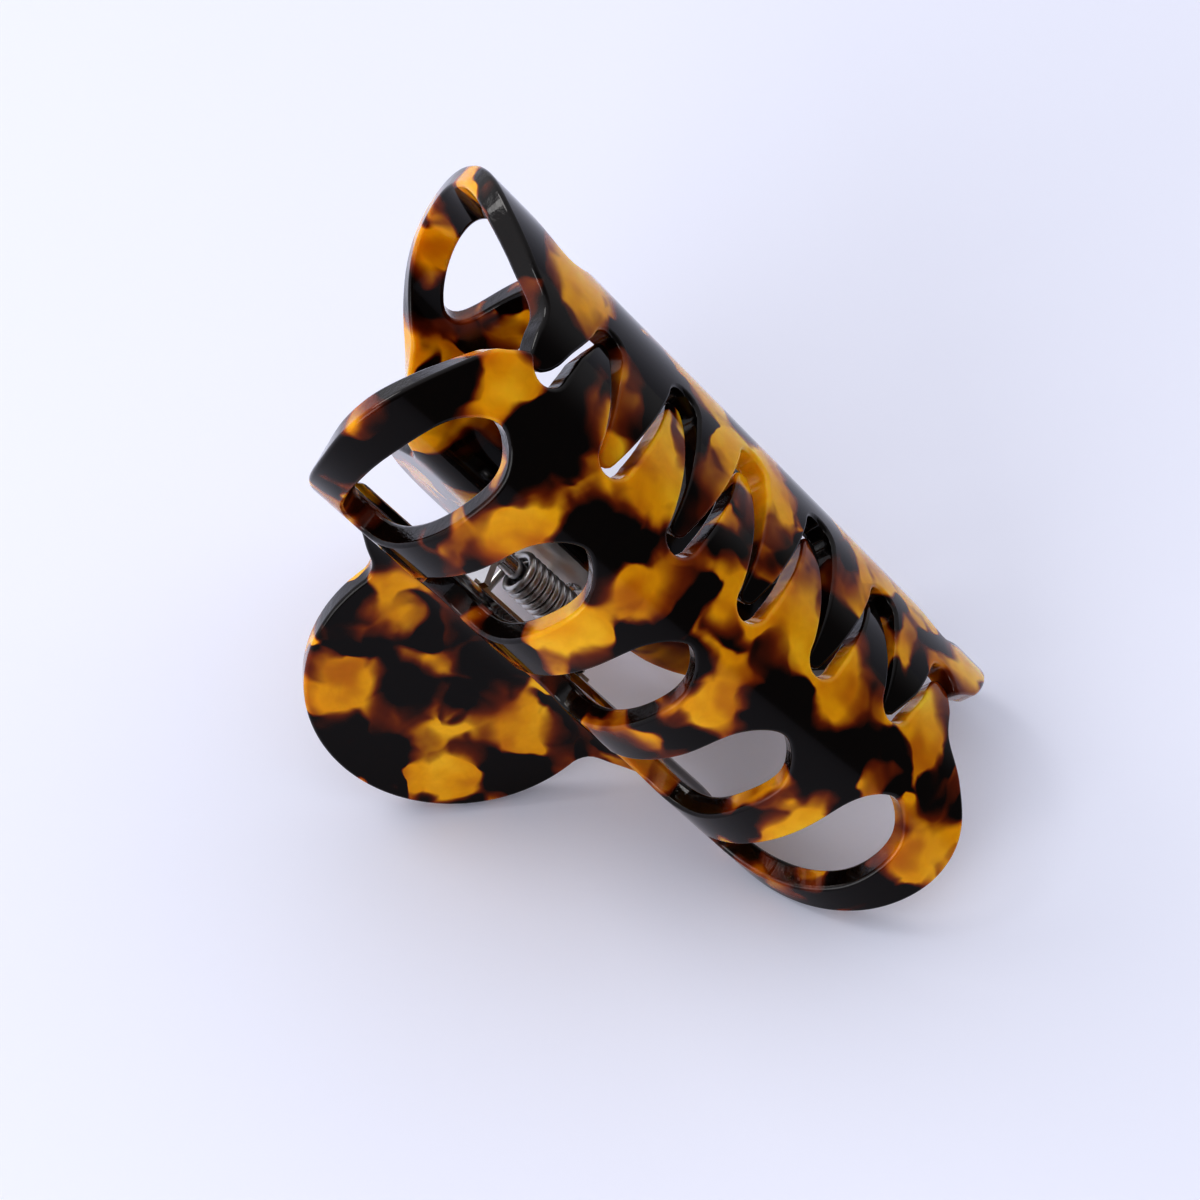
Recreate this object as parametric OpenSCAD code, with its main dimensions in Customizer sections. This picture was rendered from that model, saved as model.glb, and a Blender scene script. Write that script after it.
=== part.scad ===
/* [Jaws] */
// Thickness of the acetate sheet
sheet = 3; // [2.6:0.1:3.2]
// Outer radius of the rolled body, across the clip
body_r = 17.5; // [17:0.1:18]
// Distance of each rolled body's centre from the middle plane
body_out = 2.1; // [1.8:0.1:2.6]
// Angle below the widest point where the sheet turns out into the handle
roll_end = 56; // [54:1:58]
// Radius of that turn, on the outer face
bend_r = 6; // [5.5:0.1:6.5]
// Angle of each handle from upright
handle_lean = 32; // [28:1:34]
// Radius of the half-disc handle
handle_r = 19.4; // [18:0.1:20]

/* [Teeth] */
// Spacing of the teeth along the clip
pitch = 12.8; // [12.4:0.1:13.2]
// Radius of the round bottom of each gap
gap_r = 2.5; // [2.2:0.1:2.7]
// Distance round the sheet from the widest point to the deepest gap
gap_base = 19.6; // [19:0.1:20]
// How much shallower each gap is towards the ends
gap_rise = 0.62; // [0.5:0.02:0.7]
// Distance round the sheet from the widest point to the ends of the teeth
tooth_top = 37.2; // [36.8:0.1:37.4]
// The same for the tooth beside the end with no lobe, which would meet the other jaw
short_top = 34.9; // [34.4:0.1:35]

/* [Hinge] */
// Radius of the hinge pin
pin_r = 1.2; // [1:0.1:1.3]
// Running clearance between the pin and the far plate
pin_gap = 0.05; // [0.03:0.01:0.08]
// Height of the pin from the centre of the rolled body
pin_z = -17.5; // [-18:0.1:-17]
// Thickness of the hinge plates
plate = 0.8; // [0.7:0.1:0.9]
// Half the width of a hinge plate along the pin
plate_half = 10.6; // [10.2:0.1:11]
// Thickness of the plates' ears
ear = 0.9; // [0.8:0.05:0.95]
// Radius of the round end of an ear
ear_r = 2.4; // [2.2:0.1:2.6]
// Radius of the spring wire
wire_r = 0.55; // [0.5:0.05:0.6]
// Radius of the spring's coil, to the middle of the wire
coil_r = 2.3; // [2.1:0.05:2.4]
// Turns in the coil
turns = 8; // [7:1:8]

/* [Rest] */
// How far the clip's length leans when it lies on a table
rest_tilt = 47.3; // [40:0.1:50]
// Height of the body's centre above the table
rest_z = 36.24; // [30:0.01:40]
// Shift that centres the leaning clip
rest_x = -2.99; // [-10:0.01:10]

/* [Hidden] */
$fn = 64;

// Middle of the outward turn, as distance from the middle plane and height
turn_w = body_out + (body_r + bend_r) * cos(roll_end);
turn_z = -(body_r + bend_r) * sin(roll_end);
// Distances round the outer face, from the widest point down to the turn and to the flat handle
turn_start = -body_r * roll_end * PI / 180;
turn_end = turn_start - bend_r * (roll_end + handle_lean) * PI / 180;
// Middle of the half-disc handle, on the same measure
handle_mid = turn_end - 2.9;
handle_tip = handle_mid - handle_r;
// Where the openings and the outline are cut, beyond each face
clear_out = 3;
clear_in = 2.2;
// The rivets stand on the line through the middle of the turn
rivet_x = 6.2;
rivet_r = 0.7;
rivet_deep = 2;
rivet_head_r = 1.25;
rivet_head = 0.55;
// Half the angle that a hinge plate covers on the turn
plate_arc = 21;
plate_face = turn_w - bend_r - sheet - plate;
coil_pitch = 2 * wire_r;
coil_half = turns * coil_pitch / 2;

// A point of the sheet: s is the distance round the outer face, d the depth below it.
// The first number is the distance from the middle plane, the second the height.
function on_roll(a, d) = [body_out + (body_r - d) * cos(a), (body_r - d) * sin(a)];
function on_turn(a, d) = [turn_w - (bend_r + d) * cos(a), turn_z + (bend_r + d) * sin(a)];
function on_handle(l, d) = on_turn(-handle_lean, d) + l * [sin(handle_lean), -cos(handle_lean)];
function on_sheet(s, d) =
    s >= turn_start ? on_roll(s / body_r * 180 / PI, d)
    : s >= turn_end ? on_turn(roll_end - (turn_start - s) / bend_r * 180 / PI, d)
    : on_handle(turn_end - s, d);

// The same point in space, on the near half
function in_space(p, d) = let (q = on_sheet(p[1], d)) [p[0], -q[0], q[1]];

// A smooth curve through the points of an open list or of a closed one
function blend_point(a, b, c, d, t) =
    0.5 * (2 * b + (c - a) * t + (2 * a - 5 * b + 4 * c - d) * t * t + (3 * b - a - 3 * c + d) * t * t * t);
function smooth_open(p, n) = let (m = len(p) - 1) concat([
    for (i = [0:m - 1], j = [0:n - 1])
        blend_point(p[max(i - 1, 0)], p[i], p[i + 1], p[min(i + 2, m)], j / n)], [p[m]]);
function smooth_ring(p, n) = let (m = len(p)) [
    for (i = [0:m - 1], j = [0:n - 1])
        blend_point(p[(i + m - 1) % m], p[i], p[(i + 1) % m], p[(i + 2) % m], j / n)];
function arc(c, r, from, to, n) =
    [for (i = [0:n]) let (a = from + (to - from) * i / n) c + r * [cos(a), sin(a)]];
function mean(p, i = 0, sum = [0, 0]) = i == len(p) ? sum / len(p) : mean(p, i + 1, sum + p[i]);

// A plug that cuts a closed outline square through the sheet
module plug(ring, deeper = 0) {
    n = len(ring);
    middle = mean(ring);
    above = -clear_out - deeper;
    below = sheet + clear_in + deeper;
    points = concat([for (p = ring) in_space(p, above)], [for (p = ring) in_space(p, below)],
        [in_space(middle, above), in_space(middle, below)]);
    faces = [for (i = [0:n - 1]) let (j = (i + 1) % n) each [
        [i, j, 2 * n], [j + n, i + n, 2 * n + 1], [i, i + n, j + n], [i, j + n, j]]];
    polyhedron(points, faces, convexity = 6);
}

// Cuts away everything from an edge out to one side; the edge runs from the handle up to the teeth
module trim(edge, side) {
    n = len(edge);
    far = side * 60;
    points = [for (p = edge) each [in_space(p, -clear_out), in_space([far, p[1]], -clear_out),
        in_space([far, p[1]], sheet + clear_in), in_space(p, sheet + clear_in)]];
    walls = [for (i = [0:n - 2], k = [0:3]) let (a = 4 * i + k, b = 4 * i + (k + 1) % 4) each
        side < 0 ? [[a, b, b + 4], [a, b + 4, a + 4]] : [[a, b + 4, b], [a, a + 4, b + 4]]];
    z = 4 * n - 4;
    ends = side < 0 ? [[2, 1, 0], [3, 2, 0], [z, z + 1, z + 2], [z, z + 2, z + 3]]
        : [[0, 1, 2], [0, 2, 3], [z + 2, z + 1, z], [z + 3, z + 2, z]];
    polyhedron(points, concat(walls, ends), convexity = 8);
}

// The rolled and turned sheet, before it is cut to shape
module sheet_profile() {
    reach = 60;
    tooth_end = tooth_top / body_r * 180 / PI;
    difference() {
        translate([body_out, 0]) circle(body_r);
        translate([body_out, 0]) circle(body_r - sheet);
        translate([body_out, 0]) polygon([[0, 0], reach * [cos(roll_end), -sin(roll_end)], [0, -reach],
            [-reach, -reach], [-reach, 0], reach * [cos(tooth_end), sin(tooth_end)]]);
    }
    difference() {
        translate([turn_w, turn_z]) circle(bend_r + sheet);
        translate([turn_w, turn_z]) circle(bend_r);
        translate([turn_w, turn_z]) polygon([[0, 0], reach * [-cos(roll_end + 1), sin(roll_end + 1)],
            [0, reach], [reach, 0], [0, -reach], reach * [-cos(handle_lean), -sin(handle_lean)]]);
    }
    translate(on_turn(-handle_lean, 0)) rotate(handle_lean) translate([-sheet, handle_tip - turn_end - 1])
        square([sheet, turn_end - handle_tip + 1.1]);
}

// Gap k of the teeth, between two teeth or between an end and a tooth
function gap_mid(k) = (k - 2.75) * pitch;
function gap_low(k) = gap_base + gap_rise * pow(k - 2.5, 2) + gap_r;
function tip_mid(k) = gap_mid(k) - pitch / 2;
top = 42;
// Half the width of a tooth at its very end, and a little below it
tip_half = 0.4;
tip_shoulder = 1.1;
function tip_top(k) = k == 1 ? short_top : tooth_top;
function tip_edge(k, side) = [[tip_mid(k) + side * tip_shoulder, tip_top(k) - 1.2],
    [tip_mid(k) + side * tip_half, tip_top(k) - 0.1], [tip_mid(k) + side * tip_half, top]];
// How far the gaps widen 4 mm above their bottoms: more in the two end gaps, whose bottoms are higher
function gap_wide(k) = gap_r + (k == 0 || k == 5 ? 0.9 : 0.35);
function gap_left(k) = k == 0
    ? [[gap_mid(0) - 3.3, top], [gap_mid(0) - 3.3, gap_low(0) + 1]]
    : concat(reversed(tip_edge(k, 1)), [[gap_mid(k) - gap_wide(k), gap_low(k) + 4]]);
function gap_right(k) = k == 5
    ? [[gap_mid(5) + gap_r + 1.6, gap_low(5) + 3], [33.6, 32], [34.2, 33.6], [36.5, 34.9], [36.5, top]]
    : concat([[gap_mid(k) + gap_wide(k), gap_low(k) + 4]], tip_edge(k + 1, -1));
function reversed(p) = [for (i = [len(p) - 1:-1:0]) p[i]];
function gap_outline(k) =
    reversed(concat(gap_left(k), arc([gap_mid(k), gap_low(k)], gap_r, 185, 355, 12), gap_right(k)));

// Takes the end off the short tooth, between the gaps on its two sides
short_end = [[tip_mid(1) - 1.6, short_top], [tip_mid(1) - 1.6, top - 1], [tip_mid(1) + 1.6, top - 1],
    [tip_mid(1) + 1.6, short_top]];

// The five openings: one at each end, one beside each end and one in the middle
end_opening = smooth_ring([[30.6, -8], [30.8, 6], [31.8, 13.4], [36.2, 16.9], [41, 13.4], [42.1, 6],
    [40.4, -1], [36.8, -7.5], [33, -11]], 5);
side_opening = smooth_ring([[12.4, -9], [12.5, 2], [13.5, 9.6], [18.2, 13.3], [23, 9.6], [23.8, 2], [24, -6],
    [21.6, -11.6], [16, -13.4]], 5);
middle_opening = smooth_ring([[-5, -9], [-4.9, 2], [-3.9, 9.7], [0.2, 13.4], [4.3, 9.7], [5.3, 2], [5.2, -9],
    [3.4, -13.6], [-3.2, -13.6]], 5);
function mirrored(ring) = reversed([for (p = ring) [-p[0], p[1]]]);

// The edge from the handle's tip up each side to the teeth
handle_edge = concat([[-0.6, handle_tip - 2], [-0.6, handle_tip - 0.1]],
    arc([0, handle_mid], handle_r, -86, 6, 26));
side_edge = smooth_open([[20.6, -25.6], [23.4, -24.6], [29, -21], [36.5, -14.6], [42, -8], [46, 0],
    [48.3, 7]], 4);
right_edge = concat(handle_edge, side_edge,
    smooth_open([[48.9, 13.5], [47.2, 19.2], [42.8, 24.2], [38.8, 27.6], [38.2, 31]], 4),
    [[37.9, 33], [37.2, 34.2], [34, 35.8], [30, 36], [30, top]]);
left_edge = concat([for (p = concat(handle_edge, side_edge)) [-p[0], p[1]]],
    smooth_open([[-48, 10], [-46.2, 15.6], [-42.6, 22], [-40.4, 23.7]], 4),
    [[-37.8, 24.5], [-36.4, 25], [-33, 25.2], [-33, top]]);

// Blind hole for a rivet, from the inner face of the sheet
module rivet_hole(x, r) {
    translate([x, -(turn_w - bend_r - sheet) + 1, turn_z]) rotate([90, 0, 0])
        cylinder(h = rivet_deep + 1, r = r);
}

// One half of the clip, on the near side: both halves are the same piece
module jaw() {
    difference() {
        rotate([90, 0, 90]) translate([0, 0, -52]) linear_extrude(104) mirror([1, 0]) sheet_profile();
        plug(mirrored(end_opening));
        plug(mirrored(side_opening));
        plug(middle_opening);
        plug(side_opening);
        plug(end_opening);
        for (k = [0:5]) plug(gap_outline(k));
        plug(short_end, 2.2);
        trim(right_edge, 1);
        trim(left_edge, -1);
        rivet_hole(-rivet_x, rivet_r);
        rivet_hole(rivet_x, rivet_r);
    }
}

// The hinge plate's side view: the flange that lies on the sheet
module flange_profile() {
    difference() {
        translate([turn_w, turn_z]) circle(bend_r + sheet + plate);
        translate([turn_w, turn_z]) circle(bend_r + sheet);
        translate([turn_w, turn_z]) polygon([[0, 0], 40 * [-cos(plate_arc), sin(plate_arc)], [0, 40], [40, 0],
            [0, -40], 40 * [-cos(plate_arc), -sin(plate_arc)]]);
    }
}

// The hinge plate's side view: an ear that holds the pin
module ear_profile(bore) {
    difference() {
        union() {
            translate([0, pin_z]) circle(ear_r);
            translate([0, pin_z - ear_r]) square([turn_w - bend_r - sheet + 0.2, 2 * ear_r]);
        }
        translate([0, pin_z]) circle(bore);
        translate([turn_w, turn_z]) circle(bend_r + sheet);
    }
}

module along_pin(from, to) {
    rotate([90, 0, 90]) translate([0, 0, from]) linear_extrude(to - from) mirror([1, 0]) children();
}

// A hinge plate with its two ears, on the near side
module hinge_plate(bore) {
    difference() {
        union() {
            along_pin(-plate_half, plate_half) flange_profile();
            along_pin(-9 - ear, -9) ear_profile(bore);
            along_pin(7.9, 7.9 + ear) ear_profile(bore);
        }
        rivet_hole(-rivet_x, rivet_r);
        rivet_hole(rivet_x, rivet_r);
    }
}

// A rivet: a domed head on the plate and a shank in the sheet, on the near side
module rivet(x) {
    translate([x, -plate_face, turn_z]) rotate([90, 0, 0]) {
        cylinder(h = plate + rivet_deep - 0.02, r = rivet_r);
        rotate_extrude() intersection() {
            translate([0, rivet_head_r]) circle(rivet_head_r + 0.4);
            translate([0, -rivet_head]) square([rivet_head_r, rivet_head]);
        }
    }
}

// The pin, with a domed head at each end
module pin() {
    reach = plate_half + 0.2;
    rotate([0, 90, 0]) translate([-pin_z, 0, 0]) {
        translate([0, 0, -reach]) cylinder(h = 2 * reach, r = pin_r);
        for (side = [-1, 1]) scale([1, 1, side]) translate([0, 0, reach]) rotate_extrude() intersection() {
            translate([0, -1.4]) circle(2.4);
            translate([0, 0]) square([1.95, 1]);
        }
    }
}

// One leg of the spring: from under the coil to a foot on the inner face of the near handle
leg_from = [0, pin_z - coil_r];
leg_to = on_sheet(handle_mid + 1, sheet + wire_r + 0.05);
module wire(a, b) {
    v = b - a;
    translate(a) rotate([0, acos(v[2] / norm(v)), atan2(v[1], v[0])]) cylinder(h = norm(v), r = wire_r);
}
module leg(x, foot) {
    a = [x, -leg_from[0], leg_from[1]];
    b = [x, -leg_to[0], leg_to[1]];
    c = [x + foot, -leg_to[0], leg_to[1]];
    wire(a, b);
    wire(b, c);
    translate(b) sphere(wire_r + 0.04);
    translate(c) sphere(wire_r + 0.04);
}

// The coil, as rings that touch, with a leg at each end
module spring() {
    rotate([0, 90, 0]) translate([-pin_z, 0, 0]) rotate([0, 0, 140]) rotate_extrude() for (i = [0:turns])
        translate([coil_r, -coil_half + i * coil_pitch]) circle(wire_r + 0.05);
    leg(-coil_half, 6);
    rotate([0, 0, 180]) leg(-coil_half, 6);
}

// The clip lies on both handles and on one end
module at_rest() {
    translate([rest_x, 0, rest_z]) rotate([0, rest_tilt, 0]) children();
}
module other_half() {
    rotate([0, 0, 180]) children();
}

module jaw_near() { color("saddlebrown") at_rest() jaw(); }
module jaw_far() { color("peru") at_rest() other_half() jaw(); }
module hinge_plate_near() { color("silver") at_rest() hinge_plate(pin_r); }
module hinge_plate_far() { color("lightsteelblue") at_rest() other_half() hinge_plate(pin_r + pin_gap); }
module hinge_pin() { color("gray") at_rest() pin(); }
module torsion_spring() { color("dimgray") at_rest() spring(); }
module rivet_near_left() { color("gold") at_rest() rivet(-rivet_x); }
module rivet_near_right() { color("gold") at_rest() rivet(rivet_x); }
module rivet_far_left() { color("gold") at_rest() other_half() rivet(rivet_x); }
module rivet_far_right() { color("gold") at_rest() other_half() rivet(-rivet_x); }

jaw_near();
jaw_far();
hinge_plate_near();
hinge_plate_far();
hinge_pin();
torsion_spring();
rivet_near_left();
rivet_near_right();
rivet_far_left();
rivet_far_right();
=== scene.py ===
import math

import bpy
import numpy as np
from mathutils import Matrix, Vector
from mathutils.geometry import delaunay_2d_cdt


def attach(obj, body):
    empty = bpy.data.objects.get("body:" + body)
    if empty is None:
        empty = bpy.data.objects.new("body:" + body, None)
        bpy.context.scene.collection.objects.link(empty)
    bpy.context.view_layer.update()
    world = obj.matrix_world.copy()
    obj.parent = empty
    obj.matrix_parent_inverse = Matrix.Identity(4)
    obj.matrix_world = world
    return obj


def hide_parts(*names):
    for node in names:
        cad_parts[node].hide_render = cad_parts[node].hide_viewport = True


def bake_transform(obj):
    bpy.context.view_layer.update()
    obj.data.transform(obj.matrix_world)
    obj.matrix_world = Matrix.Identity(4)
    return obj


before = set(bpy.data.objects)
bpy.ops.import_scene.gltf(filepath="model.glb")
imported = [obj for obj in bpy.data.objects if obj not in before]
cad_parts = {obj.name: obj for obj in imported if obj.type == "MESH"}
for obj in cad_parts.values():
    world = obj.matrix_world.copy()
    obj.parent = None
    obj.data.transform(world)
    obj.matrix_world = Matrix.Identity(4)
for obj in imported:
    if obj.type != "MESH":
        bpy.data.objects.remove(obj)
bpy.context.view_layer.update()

# A tortoiseshell claw clip. Each jaw is a flat outline, filled with triangles, given rounded edges and bent
# as the CAD's sheet is. The spring is a helix with two legs. The plates, pin and rivets are the CAD's nodes.

MM = 0.001

# The sheet's shape across the clip, in mm: a rolled body, a turn outwards and a straight handle.
SHEET = 3.0
BODY_R = 17.5
BODY_OUT = 2.1
ROLL_END = math.radians(56)
BEND_R = 6.0
LEAN = math.radians(32)
TURN_W = BODY_OUT + (BODY_R + BEND_R) * math.cos(ROLL_END)
TURN_Z = -(BODY_R + BEND_R) * math.sin(ROLL_END)
TURN_START = -BODY_R * ROLL_END
TURN_END = TURN_START - BEND_R * (ROLL_END + LEAN)

# The sheet's outline, in mm: along the clip, and round the outer face from its widest point.
HANDLE_R = 19.4
HANDLE_MID = TURN_END - 2.9
PITCH = 12.8
GAP_R = 2.5
GAP_BASE = 19.6
GAP_RISE = 0.62
TOOTH_TOP = 37.1
SHORT_TOP = 34.8
TIP_R = 1.25

# The resting pose: the clip lies on both handles and on one end.
REST_TILT = math.radians(47.3)
REST_X = -2.99
REST_Z = 36.24

# The sheet's rounded edges and the spacing of its mesh, in mm.
EDGE_R = 0.55
EDGE_STEPS = 4
RIM_SPACING = 0.62
GRID_STEP = 1.25
RIM_CLEAR = 0.9

# The hinge and its spring, in mm.
PIN_Z = -17.5
COIL_R = 2.3
WIRE_R = 0.53
COIL_HALF = 4.4
COIL_TURNS = 8
STEPS_A_TURN = 26
FOOT_S = HANDLE_MID + 1
FOOT_GAP = 0.05
TOE = 6.0
TOE_BEND_R = 0.9
WIRE_SIDES = 14

# Where each sheet is more amber and where it is darker: round places, in mm along the clip and round it.
NEAR_AMBER = [(-10, -40), (10, -40), (10, -30), (-15, -30), (-40, 20), (-25, 10), (-10, 15), (-10, 5),
              (10, 10), (-25, 25), (-15, 25), (0, 20), (10, 25), (20, 20), (35, 25), (45, 15), (30, 5)]
NEAR_DARK = [(-5, -35), (15, -35), (0, -45), (0, -25), (-30, -5), (-10, -5), (10, -5), (25, -5), (45, -5),
             (-30, 20), (-20, 15), (-45, 10), (-45, 0), (0, 10), (15, 15), (25, 15), (45, 5)]
FAR_AMBER = [(40, -5), (35, -20), (35, 20), (10, 15), (0, 20), (-30, 15), (-40, 20)]
FAR_DARK = [(40, -15), (25, 20), (5, 15), (-10, 20), (45, 5)]
PATCH_R = 4.0
PATCH_GAIN = 0.6

# How far the far jaw's pattern lies from the near one's, in mm, so that the two jaws differ.
FAR_SHIFT = (130, 40, 20)

# The camera's place in metres, its turn in degrees and its lens in mm, fitted to the photo.
CAMERA_PLACE = (0.0369, -0.1860, 0.3173)
CAMERA_TURN = (33.26, -1.9, 16.55)
CAMERA_LENS = 87.3

# The point that the lights aim at, in metres.
CLIP_MIDDLE = (0, 0, 0.03)


# ---------------------------------------------------------------- camera, floor and light

camera = bpy.data.objects.new("camera", bpy.data.cameras.new("camera"))
bpy.context.scene.collection.objects.link(camera)
camera.location = CAMERA_PLACE
camera.rotation_euler = [math.radians(a) for a in CAMERA_TURN]
camera.data.lens = CAMERA_LENS
camera.data.sensor_width = 36
camera.data.clip_start = 0.01
bpy.context.scene.camera = camera
bpy.context.scene.view_settings.view_transform = "Standard"
bpy.context.scene.view_settings.look = "High Contrast"


def node_tree(name):
    """A new material, its node tree and its Principled shader."""
    material = bpy.data.materials.new(name)
    material.use_nodes = True
    tree = material.node_tree
    return material, tree, tree.nodes["Principled BSDF"]


def add(tree, kind, **settings):
    """A node, with its properties or the default values of its sockets set by name."""
    node = tree.nodes.new(kind)
    for key, value in settings.items():
        if hasattr(node, key):
            setattr(node, key, value)
        else:
            node.inputs[key.replace("_", " ")].default_value = value
    return node


def noise(tree, coordinates, scale, detail=2.0, roughness=0.5):
    """A noise texture's node."""
    node = add(tree, "ShaderNodeTexNoise", Scale=scale, Detail=detail, Roughness=roughness)
    tree.links.new(coordinates, node.inputs["Vector"])
    return node


def maths(tree, operation, a, b=None, c=None):
    """A sum on sockets or plain values."""
    node = add(tree, "ShaderNodeMath", operation=operation)
    for socket, value in zip(node.inputs, (a, b, c)):
        if isinstance(value, (int, float)):
            socket.default_value = value
        elif value is not None:
            tree.links.new(value, socket)
    return node.outputs[0]


def mix(tree, factor, a, b):
    """A colour mix. Each of factor, a and b is a socket or a plain value."""
    node = add(tree, "ShaderNodeMix", data_type="RGBA")
    for socket, value in ((node.inputs[0], factor), (node.inputs[6], a), (node.inputs[7], b)):
        if isinstance(value, bpy.types.NodeSocket):
            tree.links.new(value, socket)
        else:
            socket.default_value = value
    return node.outputs[2]


def ramp(tree, value, stops):
    """A colour for each value, from stops of a position and a colour."""
    node = add(tree, "ShaderNodeValToRGB")
    node.color_ramp.interpolation = "EASE"
    elements = node.color_ramp.elements
    while len(elements) < len(stops):
        elements.new(0.5)
    for element, (position, colour) in zip(elements, stops):
        element.position = position
        element.color = colour
    tree.links.new(value, node.inputs[0])
    return node.outputs[0]


def srgb(code):
    """A linear colour from a hex code."""
    out = []
    for i in (0, 2, 4):
        c = int(code[i:i + 2], 16) / 255
        out.append(c / 12.92 if c <= 0.04045 else ((c + 0.055) / 1.055) ** 2.4)
    return (*out, 1.0)


def bump(tree, height, strength, distance):
    """A normal that a height disturbs."""
    node = add(tree, "ShaderNodeBump", Strength=strength, Distance=distance)
    tree.links.new(height, node.inputs["Height"])
    return node.outputs[0]


def floor():
    """A plain pale floor."""
    material, tree, shader = node_tree("floor")
    place = add(tree, "ShaderNodeTexCoord").outputs["Object"]
    shade = noise(tree, place, 3.0, 3.0).outputs["Fac"]
    tree.links.new(mix(tree, shade, srgb("E9EAF6"), srgb("EDEEF9")), shader.inputs["Base Color"])
    shader.inputs["Roughness"].default_value = 0.6
    shader.inputs["Specular IOR Level"].default_value = 0.2
    mesh = bpy.data.meshes.new("floor")
    half = 1.6
    corners = [(-half, -half, 0), (half, -half, 0), (half, half, 0), (-half, half, 0)]
    mesh.from_pydata(corners, [], [(0, 1, 2, 3)])
    mesh.materials.append(material)
    obj = bpy.data.objects.new("floor", mesh)
    bpy.context.scene.collection.objects.link(obj)


def area_light(name, place, size, power, colour):
    """A round soft light, turned to the clip."""
    data = bpy.data.lights.new(name, "AREA")
    data.shape = "DISK"
    data.size = size
    data.energy = power
    data.color = colour
    obj = bpy.data.objects.new(name, data)
    bpy.context.scene.collection.objects.link(obj)
    obj.location = place
    aim = Vector(CLIP_MIDDLE) - Vector(place)
    obj.rotation_euler = aim.to_track_quat("-Z", "Y").to_euler()


def light():
    """A pale room, dimmer in front to the right, so that the near jaw's dark patches reflect little."""
    world = bpy.data.worlds.new("world")
    bpy.context.scene.world = world
    world.use_nodes = True
    tree = world.node_tree
    background = tree.nodes["Background"]
    away = add(tree, "ShaderNodeVectorMath", operation="DOT_PRODUCT")
    tree.links.new(add(tree, "ShaderNodeTexCoord").outputs["Generated"], away.inputs[0])
    away.inputs[1].default_value = (0.77, -0.62, 0.12)
    pale, dim = (0.93, 0.945, 1.0, 1), (0.24, 0.245, 0.26, 1)
    shade = ramp(tree, away.outputs["Value"], [(0.25, pale), (0.68, dim)])
    tree.links.new(shade, background.inputs["Color"])
    background.inputs["Strength"].default_value = 0.73
    area_light("window", place=(-0.90, 0.10, 0.85), size=0.6, power=2.9, colour=(1.0, 0.985, 0.97))
    area_light("fill", place=(-0.35, -0.95, 0.45), size=0.7, power=2.9, colour=(0.97, 0.98, 1.0))


floor()
light()


# ---------------------------------------------------------------- the jaws' outline

def smooth(points, steps, closed=False):
    """A Catmull-Rom curve through the points."""
    n = len(points)
    p = np.array(points, float)
    out = []
    for i in range(n if closed else n - 1):
        picks = [i - 1, i, i + 1, i + 2]
        a, b, c, d = (p[k % n] if closed else p[min(max(k, 0), n - 1)] for k in picks)
        for j in range(steps):
            t = j / steps
            out.append(0.5 * (2 * b + (c - a) * t + (2 * a - 5 * b + 4 * c - d) * t ** 2
                              + (3 * b - a - 3 * c + d) * t ** 3))
    if not closed:
        out.append(p[-1])
    return [tuple(q) for q in out]


def arc(centre, radius, start, end, steps):
    """Points on an arc, with its angles in degrees."""
    turn = [math.radians(start + (end - start) * i / steps) for i in range(steps + 1)]
    return [(centre[0] + radius * math.cos(a), centre[1] + radius * math.sin(a)) for a in turn]


def round_corner(a, b, c, radius, steps):
    """Points that turn from the line a-b to the line b-c on an arc."""
    a, b, c = (np.array(p, float) for p in (a, b, c))
    back, on = (a - b) / np.linalg.norm(a - b), (c - b) / np.linalg.norm(c - b)
    half = math.acos(np.clip(np.dot(back, on), -1, 1)) / 2
    reach = radius / math.tan(half)
    centre = b + (back + on) / np.linalg.norm(back + on) * radius / math.sin(half)
    p, q = b + back * reach - centre, b + on * reach - centre
    sweep = math.pi - 2 * half
    return [centre + (p * math.sin((1 - t) * sweep) + q * math.sin(t * sweep)) / math.sin(sweep)
            for t in np.linspace(0, 1, steps)]


def flip(points):
    """The same points mirrored across the middle of the clip, in the opposite order."""
    return [(-u, s) for u, s in reversed(points)]


def gap_middle(k):
    """Where the gap k lies along the clip."""
    return (k - 2.75) * PITCH


def gap_low(k):
    """The height of the centre of the gap's round end."""
    return GAP_BASE + GAP_RISE * (k - 2.5) ** 2 + GAP_R


def toothed_edge():
    """From the right end to the left one, with the gaps numbered from the left and a tooth between two."""
    points = [(37.9, 32.4), (37.4, 33.7), (36.4, 34.5), (35.3, 34.3), (34.4, 33.4), (33.7, 32), (33.1, 30)]
    for k in range(5, -1, -1):
        middle = (gap_middle(k), gap_low(k))
        first = 0 if k in (0, 5) else 4
        last = -150 if k == 0 else -184
        # The teeth beside the two end gaps stay broad near their roots.
        if k == 0:
            points.append((middle[0] + GAP_R + 0.9, middle[1] + 4))
        points += arc(middle, GAP_R, first, last, 24)
        if k == 5:
            points.append((middle[0] - GAP_R - 0.9, middle[1] + 4))
        if k > 0:
            top = SHORT_TOP if k == 1 else TOOTH_TOP
            tip = (gap_middle(k) - PITCH / 2, top - TIP_R)
            points += arc(tip, TIP_R, 6, 174, 14)
    return points


def outline():
    """The jaw's outline, anticlockwise from the handle's tip."""
    handle = arc((0, HANDLE_MID), HANDLE_R, -90, 4, 40)
    neck = [(19.35, -27.8), (20.3, -26.1), (23.4, -24.6), (29, -21), (36.5, -14.6), (42, -8), (46, 0)]
    side = smooth(neck + [(48.2, 7), (48.8, 13.5), (47.2, 19.2), (42.8, 24.2), (38.8, 27.6), (38.2, 31)], 6)
    shoulder = [tuple(p) for p in round_corner((-37.35, 24.7), (-37.8, 25.9), (-42.6, 22), 0.8, 8)]
    left = smooth([(-40.8, 23.6), (-42.8, 21.8), (-46.2, 15.6), (-47.9, 10), (-47.7, 5)] + flip(neck), 6)
    return handle[:-1] + side + toothed_edge() + shoulder + left + flip(handle)[1:-1]


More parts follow.
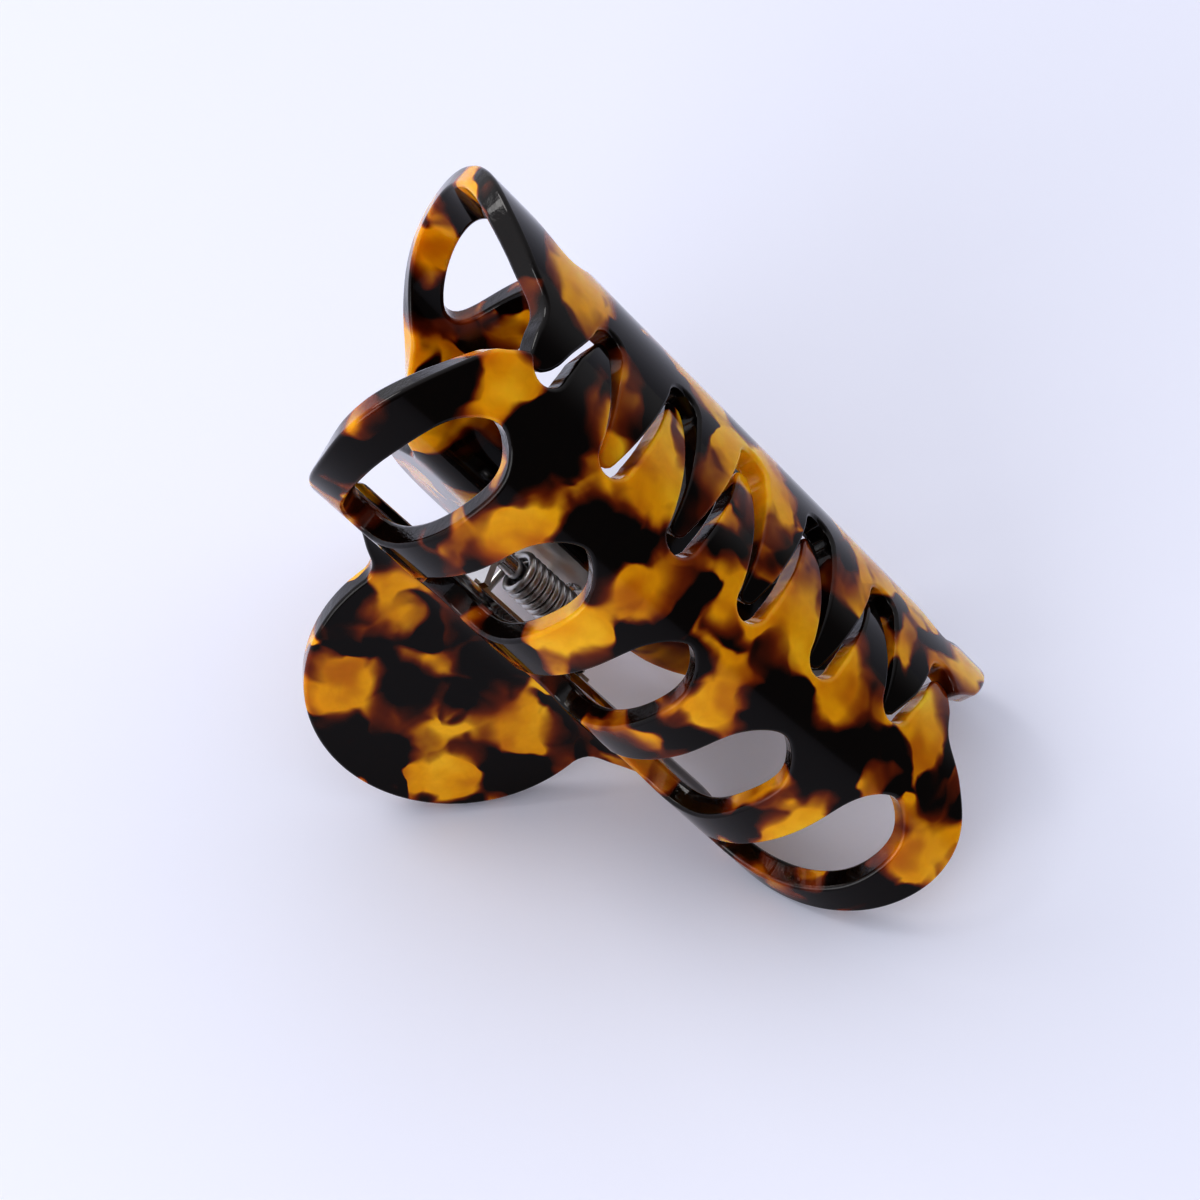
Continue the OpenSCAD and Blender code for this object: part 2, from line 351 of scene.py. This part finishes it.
# The openings on the right half and in the middle. Those on the left half mirror the first two.
END_OPENING = [(30.6, -8), (30.8, 6), (31.8, 13.4), (36.2, 16.9), (41, 13.4), (42.1, 6), (40.4, -1),
               (36.8, -7.5), (33, -11)]
SIDE_OPENING = [(12.4, -9), (12.5, 2), (13.5, 9.6), (18.2, 13.3), (23, 9.6), (23.8, 2), (24, -6),
                (21.6, -11.6), (16, -13.4)]
MIDDLE_OPENING = [(-5, -9), (-4.9, 2), (-3.9, 9.7), (0.2, 13.4), (4.3, 9.7), (5.3, 2), (5.2, -9),
                  (3.4, -13.6), (-3.2, -13.6)]


def loops():
    """The outline anticlockwise and the openings clockwise, so that the sheet lies on the left of each."""
    rings = [outline()]
    for opening in (END_OPENING, SIDE_OPENING, MIDDLE_OPENING):
        rings.append(smooth(opening, 8, closed=True))
    rings += [flip(rings[1]), flip(rings[2])]
    out = []
    for k, ring in enumerate(rings):
        ring = evenly(np.array(ring), RIM_SPACING)
        ahead = np.roll(ring, -1, 0)
        area = 0.5 * np.sum(ring[:, 0] * ahead[:, 1] - ring[:, 1] * ahead[:, 0])
        out.append(ring if (area > 0) == (k == 0) else ring[::-1])
    return out


def evenly(ring, spacing):
    """A closed ring, sampled again at even distances."""
    closed = np.vstack([ring, ring[:1]])
    along = np.concatenate([[0], np.cumsum(np.linalg.norm(np.diff(closed, axis=0), axis=1))])
    count = int(round(along[-1] / spacing))
    at = np.linspace(0, along[-1], count, endpoint=False)
    return np.stack([np.interp(at, along, closed[:, 0]), np.interp(at, along, closed[:, 1])], 1)


# ---------------------------------------------------------------- from the flat sheet to the bent one

def on_sheet(s, d):
    """Distance from the middle plane and height of the points s round the outer face and d below it,
    with the outward normal and the direction of growing s, each as such a pair."""
    s, d = np.broadcast_arrays(np.asarray(s, float), np.asarray(d, float))
    rolled = s >= TURN_START
    angle = np.where(rolled, s / BODY_R, np.clip(ROLL_END - (TURN_START - s) / BEND_R, -LEAN, None))
    beyond = np.clip(TURN_END - s, 0, None)
    cos, sin = np.cos(angle), np.sin(angle)
    w = np.where(rolled, BODY_OUT + (BODY_R - d) * cos, TURN_W - (BEND_R + d) * cos + beyond * math.sin(LEAN))
    z = np.where(rolled, (BODY_R - d) * sin, TURN_Z + (BEND_R + d) * sin - beyond * math.cos(LEAN))
    normal = (cos, np.where(rolled, sin, -sin))
    tangent = (np.where(rolled, -sin, sin), cos)
    return w, z, normal, tangent


def at_rest(x, y, z):
    """Points of the clip's own frame, in mm, as points of the shared frame, in metres."""
    c, s = math.cos(REST_TILT), math.sin(REST_TILT)
    return np.stack([(x * c + z * s + REST_X) * MM, y * MM, (z * c - x * s + REST_Z) * MM], -1)


def turned(x, y, z):
    """Directions of the clip's own frame, turned to the shared frame."""
    c, s = math.cos(REST_TILT), math.sin(REST_TILT)
    return np.stack([x * c + z * s, y, z * c - x * s], -1)


def inside(points, rings):
    """Which points lie within the outline and outside the openings: those with an odd count of crossings."""
    odd = np.zeros(len(points), bool)
    for ring in rings:
        a, b = ring, np.roll(ring, -1, 0)
        for (x0, y0), (x1, y1) in zip(a, b):
            if y0 != y1:
                spans = (points[:, 1] > y0) != (points[:, 1] > y1)
                odd ^= spans & (points[:, 0] < x0 + (points[:, 1] - y0) * (x1 - x0) / (y1 - y0))
    return odd


def edge_profile():
    """Each step round a cut edge: inset from the outline, depth, and the normal's lean from the face's."""
    quarter = [math.pi / 2 * i / EDGE_STEPS for i in range(EDGE_STEPS + 1)]
    front = [(EDGE_R * (1 - math.sin(a)), EDGE_R * (1 - math.cos(a)), a) for a in quarter]
    wall = [(0, SHEET / 2, math.pi / 2)]
    back = [(inset, SHEET - depth, math.pi - a) for inset, depth, a in reversed(front)]
    return front + wall + back


def outward(ring):
    """The direction away from the sheet at each point of a ring."""
    run = np.roll(ring, -1, 0) - np.roll(ring, 1, 0)
    run /= np.linalg.norm(run, axis=1)[:, None]
    return np.stack([run[:, 1], -run[:, 0]], 1)


def ring_list(rim, rings):
    """The rows of rim, split again into the rings they came from."""
    ends = np.cumsum([len(r) for r in rings])
    return np.split(rim, ends[:-1])


def ring_lines(rings):
    """The lines round each ring, as pairs of point numbers."""
    lines, start = [], 0
    for ring in rings:
        n = len(ring)
        lines += [(start + i, start + (i + 1) % n) for i in range(n)]
        start += n
    return lines


def face_points(rim, rings):
    """Points spread over the sheet's face, in rows, clear of the rim where its rounded edge starts."""
    rows = []
    for i, s in enumerate(np.arange(-50, 40, GRID_STEP)):
        u = np.arange(-50, 50, GRID_STEP) + (GRID_STEP / 2 if i % 2 else 0)
        rows.append(np.stack([u, np.full(len(u), s)], 1))
    grid = np.vstack(rows)
    near = np.array([np.min(np.sum((rim - g) ** 2, 1)) for g in grid])
    grid = grid[inside(grid, rings) & (near > RIM_CLEAR ** 2)]
    return grid[inside(grid, ring_list(rim, rings))]


def face_triangles(rim, grid, lines, rings):
    """The triangles of the sheet's face, over the points of the rim and then those of the grid."""
    flat = np.vstack([rim, grid])
    verts, _, faces, *_ = delaunay_2d_cdt([Vector(p) for p in flat], lines, [], 0, 1e-7)
    if len(verts) != len(flat):
        raise ValueError("the sheet's outline crosses itself")
    faces = np.array([f[:] for f in faces])
    return faces[inside(flat[faces].mean(1), ring_list(rim, rings))]


def flat_sheet():
    """The sheet before it is bent: points (u, s, depth), each normal's lean from the face's own and its
    direction across the cut, and the polygons."""
    rings = loops()
    edge = np.vstack(rings)
    away = np.vstack([outward(ring) for ring in rings])
    rim = edge - EDGE_R * away
    grid = face_points(rim, rings)
    lines = ring_lines(rings)
    faces = face_triangles(rim, grid, lines, rings)
    profile = edge_profile()
    n_rim, n_grid = len(rim), len(grid)

    # The points: every step of the edge's profile all the way round, then the front and the back grid.
    points, lean, across = [], [], []
    for inset, depth, angle in profile:
        points.append(np.column_stack([edge - inset * away, np.full(n_rim, depth)]))
        lean.append(np.full(n_rim, angle))
        across.append(away)
    for depth, angle in ((0, 0), (SHEET, math.pi)):
        points.append(np.column_stack([grid, np.full(n_grid, depth)]))
        lean.append(np.full(n_grid, angle))
        across.append(np.zeros((n_grid, 2)))

    # The polygons: both faces, then the quads of the edge between each two steps.
    last = (len(profile) - 1) * n_rim
    front_grid = len(profile) * n_rim
    front = np.where(faces < n_rim, faces, faces - n_rim + front_grid)
    back = np.where(faces < n_rim, faces + last, faces - n_rim + front_grid + n_grid)[:, ::-1]
    polygons = [tuple(f) for f in front] + [tuple(f) for f in back]
    for j in range(len(profile) - 1):
        for a, b in lines:
            low, high = j * n_rim, (j + 1) * n_rim
            polygons.append((low + b, low + a, high + a, high + b))
    return np.vstack(points), np.concatenate(lean), np.vstack(across), polygons


FLAT = flat_sheet()


def amber_gain(u, s, amber_places, dark_places):
    """How far each point leans to amber or, below zero, to dark."""
    gain = np.zeros(len(u))
    for places, most in ((amber_places, PATCH_GAIN), (dark_places, -PATCH_GAIN)):
        for place_u, place_s in places:
            gain += most * np.exp(-((u - place_u) ** 2 + (s - place_s) ** 2) / PATCH_R ** 2)
    return gain


def jaw(name, body, side, shift, amber_places, dark_places):
    """One jaw: side is 1 for the near one, and -1 for the far one, which is turned half a turn. Its points
    carry their place on the flat sheet, how amber they are and whether they lie on a cut wall."""
    points, lean, across, polygons = FLAT
    u, s, d = points.T
    w, z, normal, tangent = on_sheet(s, d)
    out, over = np.cos(lean), np.sin(lean)
    nx = over * across[:, 0]
    nw = out * normal[0] + over * across[:, 1] * tangent[0]
    nz = out * normal[1] + over * across[:, 1] * tangent[1]
    mesh = bpy.data.meshes.new(name)
    mesh.from_pydata(at_rest(side * u, -side * w, z).tolist(), [], polygons)
    mesh.shade_smooth()
    mesh.normals_split_custom_set_from_vertices(turned(side * nx, -side * nw, nz).tolist())
    place = np.column_stack([u + shift[0], s + shift[1], d + shift[2]])
    amber = amber_gain(u, s, amber_places, dark_places)
    mesh.attributes.new("flat", "FLOAT_VECTOR", "POINT").data.foreach_set("vector", place.ravel() / 10)
    mesh.attributes.new("amber", "FLOAT", "POINT").data.foreach_set("value", amber)
    mesh.attributes.new("cut", "FLOAT", "POINT").data.foreach_set("value", np.sin(lean) ** 2)
    obj = bpy.data.objects.new(name, mesh)
    bpy.context.scene.collection.objects.link(obj)
    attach(obj, body)
    return obj


# ---------------------------------------------------------------- materials

def shaken(tree, coordinates, scale, amount):
    """Coordinates pushed about by noise."""
    push = add(tree, "ShaderNodeVectorMath", operation="MULTIPLY_ADD")
    tree.links.new(noise(tree, coordinates, scale, 2.0).outputs["Color"], push.inputs[0])
    push.inputs[1].default_value = (amount, amount, amount)
    tree.links.new(coordinates, push.inputs[2])
    return push.outputs[0]


def patches(tree, coordinates, scale, smoothness):
    """A value for each patch, which runs softly into the next one."""
    cells = add(tree, "ShaderNodeTexVoronoi", feature="SMOOTH_F1", Scale=scale, Smoothness=smoothness)
    tree.links.new(coordinates, cells.inputs["Vector"])
    tone = add(tree, "ShaderNodeSeparateColor")
    tree.links.new(cells.outputs["Color"], tone.inputs[0])
    return tone.outputs[0]


def into_patch(tree, flat):
    """How far each point lies inside a dark patch, or outside it where the value is below zero. The value
    grows quickly where a patch ends sharply, and slowly where it runs out like smoke."""
    more_amber = add(tree, "ShaderNodeAttribute", attribute_name="amber").outputs["Fac"]
    ragged = shaken(tree, shaken(tree, flat, 1.1, 0.7), 3.0, 0.09)
    value = maths(tree, "MULTIPLY", patches(tree, ragged, 0.95, 0.25), 0.45)
    value = maths(tree, "MULTIPLY_ADD", patches(tree, ragged, 2.0, 0.35), 0.50, value)
    value = maths(tree, "MULTIPLY_ADD", noise(tree, ragged, 2.1, 1.2).outputs["Fac"], 0.42, value)
    value = maths(tree, "SUBTRACT", value, more_amber)
    width = maths(tree, "MULTIPLY_ADD", noise(tree, flat, 1.5, 1.0).outputs["Fac"], 1.3, -0.40)
    width = maths(tree, "MAXIMUM", width, 0.05)
    patch_edge = 0.615
    return maths(tree, "DIVIDE", maths(tree, "SUBTRACT", value, patch_edge), width)


def acetate():
    """Polished tortoiseshell acetate: clear honey amber with dark patches, in cm on the flat sheet."""
    material, tree, shader = node_tree("tortoiseshell_acetate")
    link = tree.links.new
    flat = add(tree, "ShaderNodeAttribute", attribute_name="flat").outputs["Vector"]
    into = into_patch(tree, flat)
    black_to_white = [(0.0, (0, 0, 0, 1)), (1.0, (1, 1, 1, 1))]
    opaque = ramp(tree, maths(tree, "ADD", into, 0.5), black_to_white)
    edge = ramp(tree, maths(tree, "MULTIPLY_ADD", into, 0.8, 1.0), black_to_white)
    cloud = noise(tree, flat, 1.1, 2.0, 0.5).outputs["Fac"]
    honey = ramp(tree, cloud, [(0.32, srgb("CA8008")), (0.50, srgb("ECB010")), (0.68, srgb("FACA2C"))])
    streaks = noise(tree, shaken(tree, flat, 2.0, 0.8), 7.0, 4.0).outputs["Fac"]
    honey = mix(tree, maths(tree, "MULTIPLY", streaks, 0.25), honey, srgb("964A00"))
    reddish = mix(tree, edge, honey, srgb("863306"))
    brown = mix(tree, streaks, srgb("080403"), srgb("140904"))
    colour = mix(tree, opaque, reddish, brown)
    link(colour, shader.inputs["Base Color"])

    clear = maths(tree, "SUBTRACT", 1.0, opaque)
    link(maths(tree, "MULTIPLY", clear, 0.7), shader.inputs["Subsurface Weight"])
    shader.inputs["Subsurface Radius"].default_value = (1.0, 0.42, 0.08)
    shader.inputs["Subsurface Scale"].default_value = 0.0035
    shader.inputs["IOR"].default_value = 1.49
    wear = noise(tree, flat, 2.6, 2.0).outputs["Fac"]
    cut = add(tree, "ShaderNodeAttribute", attribute_name="cut").outputs["Fac"]
    link(maths(tree, "MULTIPLY_ADD", wear, 0.06, 0.05), shader.inputs["Roughness"])
    shader.inputs["Specular IOR Level"].default_value = 0.22
    link(maths(tree, "MULTIPLY_ADD", cut, 0.6, 0.1), shader.inputs["Coat Weight"])
    shader.inputs["Coat Roughness"].default_value = 0.03
    place = add(tree, "ShaderNodeTexCoord").outputs["Object"]
    saw = maths(tree, "MULTIPLY", noise(tree, place, 520.0, 4.0, 0.62).outputs["Fac"], cut)
    link(bump(tree, saw, 0.5, 0.0003), shader.inputs["Normal"])
    return material


def steel(name, colour, roughness, streak_scale, stretch):
    """Bare or plated steel, with fine marks drawn out by stretch, which is small along the marks."""
    material, tree, shader = node_tree(name)
    link = tree.links.new
    place = add(tree, "ShaderNodeTexCoord").outputs["Object"]
    drawn = add(tree, "ShaderNodeMapping", Rotation=(0, REST_TILT, 0), Scale=stretch)
    link(place, drawn.inputs["Vector"])
    marks = noise(tree, drawn.outputs[0], streak_scale, 5.0, 0.65).outputs["Fac"]
    cloud = noise(tree, place, 380.0, 3.0).outputs["Fac"]
    dull = mix(tree, cloud, colour, tuple(c * 0.82 for c in colour[:3]) + (1.0,))
    link(dull, shader.inputs["Base Color"])
    shader.inputs["Metallic"].default_value = 1.0
    link(maths(tree, "MULTIPLY_ADD", marks, 0.22, roughness), shader.inputs["Roughness"])
    link(bump(tree, marks, 0.25, 0.00003), shader.inputs["Normal"])
    return material


# ---------------------------------------------------------------- the spring

def tube(name, path, radius, sides):
    """A round wire along a path, with a dome at each end."""
    path = np.array(path, float)
    ahead = np.gradient(path, axis=0)
    ahead /= np.linalg.norm(ahead, axis=1)[:, None]
    up = np.cross(ahead[0], (0.3, 0.5, 0.8))
    rings = []

    def ring(centre, direction, r):
        nonlocal up
        up = up - direction * np.dot(up, direction)
        up = up / np.linalg.norm(up)
        right = np.cross(direction, up)
        turn = [2 * math.pi * k / sides for k in range(sides)]
        rings.append([centre + r * (math.cos(a) * up + math.sin(a) * right) for a in turn])

    dome = [math.radians(a) for a in (12, 35, 62)]
    for a in dome:
        ring(path[0] - ahead[0] * radius * math.cos(a), ahead[0], radius * math.sin(a))
    for centre, direction in zip(path, ahead):
        ring(centre, direction, radius)
    for a in reversed(dome):
        ring(path[-1] + ahead[-1] * radius * math.cos(a), ahead[-1], radius * math.sin(a))
    verts = np.array(rings).reshape(-1, 3)
    faces = []
    for i in range(len(rings) - 1):
        for k in range(sides):
            j = (k + 1) % sides
            faces.append((i * sides + k, i * sides + j, (i + 1) * sides + j, (i + 1) * sides + k))
    faces.append(tuple(reversed(range(sides))))
    faces.append(tuple(range(len(verts) - sides, len(verts))))
    mesh = bpy.data.meshes.new(name)
    mesh.from_pydata(at_rest(*verts.T).tolist(), [], faces)
    mesh.shade_smooth()
    obj = bpy.data.objects.new(name, mesh)
    bpy.context.scene.collection.objects.link(obj)
    return obj


def spring():
    """The torsion spring: a coil round the pin, with a leg to each handle that ends in a short toe."""
    w, z, _, _ = on_sheet(FOOT_S, SHEET + WIRE_R + FOOT_GAP)
    foot = np.array([-float(w), float(z) - PIN_Z])
    reach = np.linalg.norm(foot)
    start = math.atan2(foot[1], foot[0]) + math.acos(COIL_R / reach)
    end = math.pi - start
    sweep = (end - start) % (2 * math.pi) + 2 * math.pi * (COIL_TURNS - 1)
    coil = []
    for t in np.linspace(0, 1, COIL_TURNS * STEPS_A_TURN):
        a = start + sweep * t
        coil.append((-COIL_HALF + 2 * COIL_HALF * t, COIL_R * math.cos(a), PIN_Z + COIL_R * math.sin(a)))
    near_foot = (-COIL_HALF, foot[0], PIN_Z + foot[1])
    toe = (-COIL_HALF + TOE, foot[0], PIN_Z + foot[1])
    leg = [toe, *round_corner(toe, near_foot, coil[0], TOE_BEND_R, 8)]
    leg += [tuple(np.array(leg[-1]) * (1 - t) + np.array(coil[0]) * t) for t in (0.3, 0.6, 0.9)]
    other = [(-x, -y, z) for x, y, z in reversed(leg)]
    obj = tube("spring_wire", leg + coil + other, WIRE_R, WIRE_SIDES)
    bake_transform(obj)
    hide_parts("torsion_spring")
    return obj


# ---------------------------------------------------------------- assembly

tortoiseshell = acetate()
near_jaw = jaw("jaw_near_shell", "near_half", 1, (0, 0, 0), NEAR_AMBER, NEAR_DARK)
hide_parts("jaw_near")
far_jaw = jaw("jaw_far_shell", "far_half", -1, FAR_SHIFT, FAR_AMBER, FAR_DARK)
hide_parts("jaw_far")
for piece in (near_jaw, far_jaw):
    piece.data.materials.append(tortoiseshell)

nickel = steel("nickel_plate", (0.74, 0.73, 0.71, 1), 0.20, 500.0, (0.08, 1, 1))
polished = steel("polished_steel", (0.80, 0.80, 0.81, 1), 0.10, 500.0, (0.1, 1, 1))
drawn_wire = steel("drawn_wire", (0.62, 0.61, 0.60, 1), 0.24, 700.0, (1, 0.2, 0.2))
spring().data.materials.append(drawn_wire)
for node, finish in (("hinge_plate_near", nickel), ("hinge_plate_far", nickel), ("hinge_pin", polished),
                     ("rivet_near_left", polished), ("rivet_near_right", polished),
                     ("rivet_far_left", polished), ("rivet_far_right", polished)):
    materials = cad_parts[node].data.materials
    materials.clear()
    materials.append(finish)
